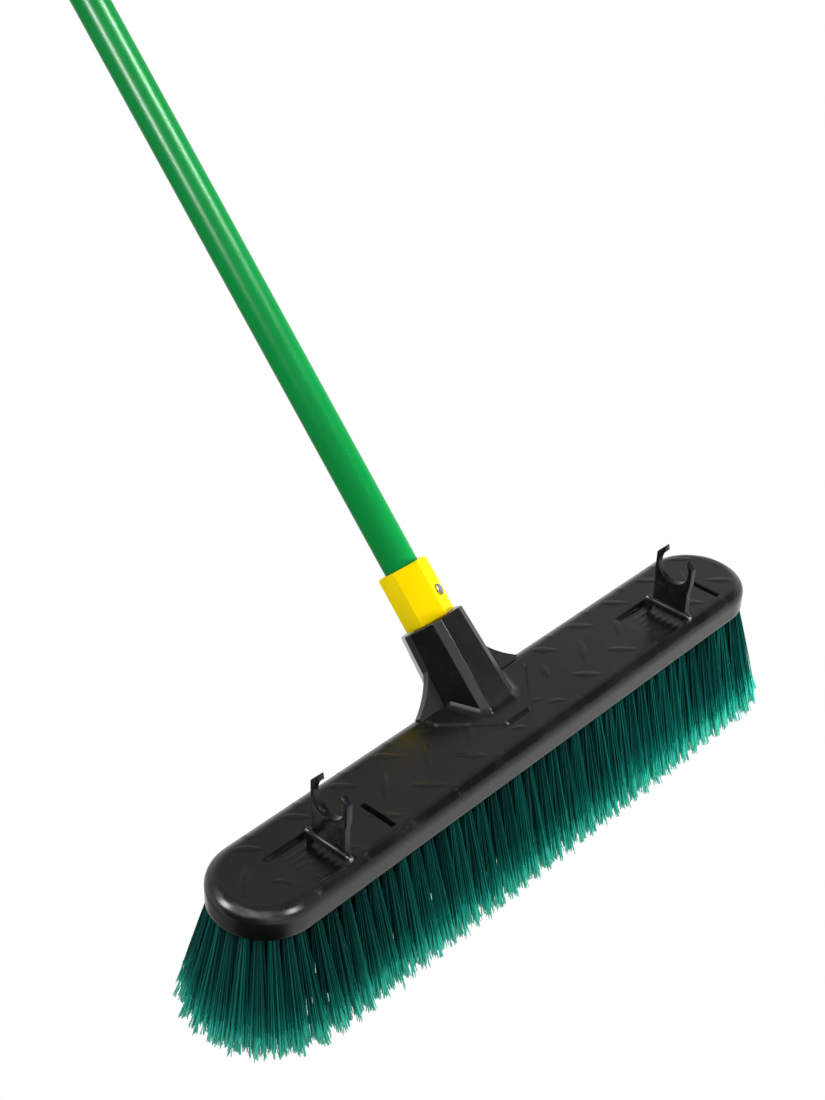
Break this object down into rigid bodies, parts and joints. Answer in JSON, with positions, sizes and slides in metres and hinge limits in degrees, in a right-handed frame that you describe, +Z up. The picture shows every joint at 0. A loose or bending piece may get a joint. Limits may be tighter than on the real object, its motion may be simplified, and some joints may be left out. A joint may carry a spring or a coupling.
{
  "type": "push broom",
  "caption": "Push broom with a round-ended bristle block, raked screw-in handle, hexagonal collar and fold-down clips that store the handle.",
  "frame": {"origin": "middle of the plane that the bristle tips stand on, under the middle of the block", "axes": "+X along the block, -Y to its front, +Z up; the handle leans back towards +Y at 47 degrees above the horizontal"},
  "size_m": [0.4848, 1.1328, 1.2155],
  "materials": {
    "black_plastic": "satin",
    "clip_plastic": "satin",
    "bristle": "satin",
    "yellow_plastic": "satin",
    "green_paint": "gloss",
    "steel": "satin"
  },
  "bodies": {
    "broom_head": {"block": "black_plastic", "tufts_outer_front": "bristle", "tufts_outer_back": "bristle", "tufts_outer_left": "bristle", "tufts_outer_right": "bristle", "tufts_inner_front": "bristle", "tufts_inner_back": "bristle", "tufts_inner_left": "bristle", "tufts_inner_right": "bristle", "tufts_centre": "bristle", "clip_pin_left": "steel", "clip_pin_right": "steel"},
    "handle": {"collar": "yellow_plastic", "handle_tube": "green_paint", "end_cap": "yellow_plastic", "collar_screw": "steel"},
    "left_clip": {"clip_left": "clip_plastic"},
    "right_clip": {"clip_right": "clip_plastic"}
  },
  "joints": [
    {"name": "handle_release", "type": "slide", "parent": "broom_head", "child": "handle", "axis": [0, 0.682, 0.7314], "range_m": [0, 0.045]},
    {"name": "left_clip_fold", "type": "hinge", "parent": "broom_head", "child": "left_clip", "pos_m": [-0.1596, -0.0114, 0.0929], "axis": [0, -1, 0], "range_deg": [0, 90]},
    {"name": "right_clip_fold", "type": "hinge", "parent": "broom_head", "child": "right_clip", "pos_m": [0.1508, -0.0114, 0.0929], "axis": [0, -1, 0], "range_deg": [0, 90]}
  ]
}
